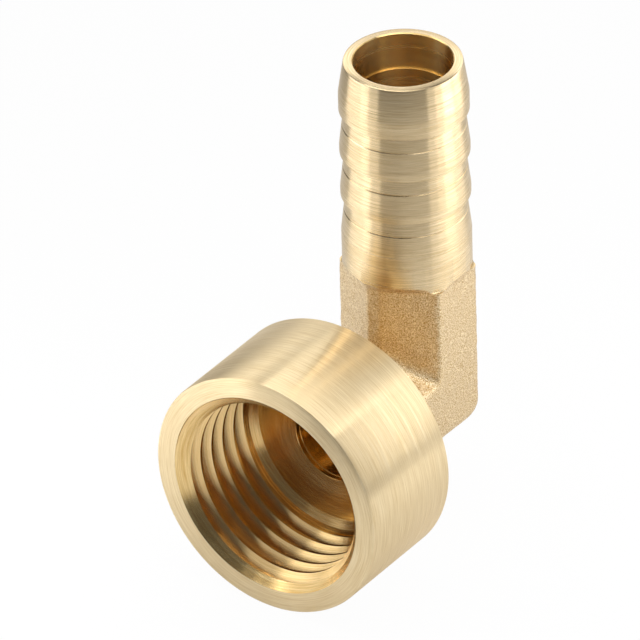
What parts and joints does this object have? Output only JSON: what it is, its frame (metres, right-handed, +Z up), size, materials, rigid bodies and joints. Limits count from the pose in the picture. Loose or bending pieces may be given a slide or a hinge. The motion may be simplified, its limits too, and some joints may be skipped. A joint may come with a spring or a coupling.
{
  "type": "hose barb elbow",
  "caption": "Right-angle brass pipe fitting, one forged and turned piece: a ridged hose tail up one arm, a wide collar with a female parallel pipe thread on the other.",
  "frame": {"origin": "where the axis of the hose tail's bore crosses the axis of the socket", "axes": "+Z up the hose tail, -Y out of the threaded socket; the parting plane of the forging is X = 0"},
  "size_m": [0.0252, 0.0305, 0.0487],
  "materials": {
    "brass": "turned brass on the tail and the collar, blasted forging skin on the neck"
  },
  "bodies": {
    "root": {"elbow_body": "brass"}
  },
  "joints": []
}
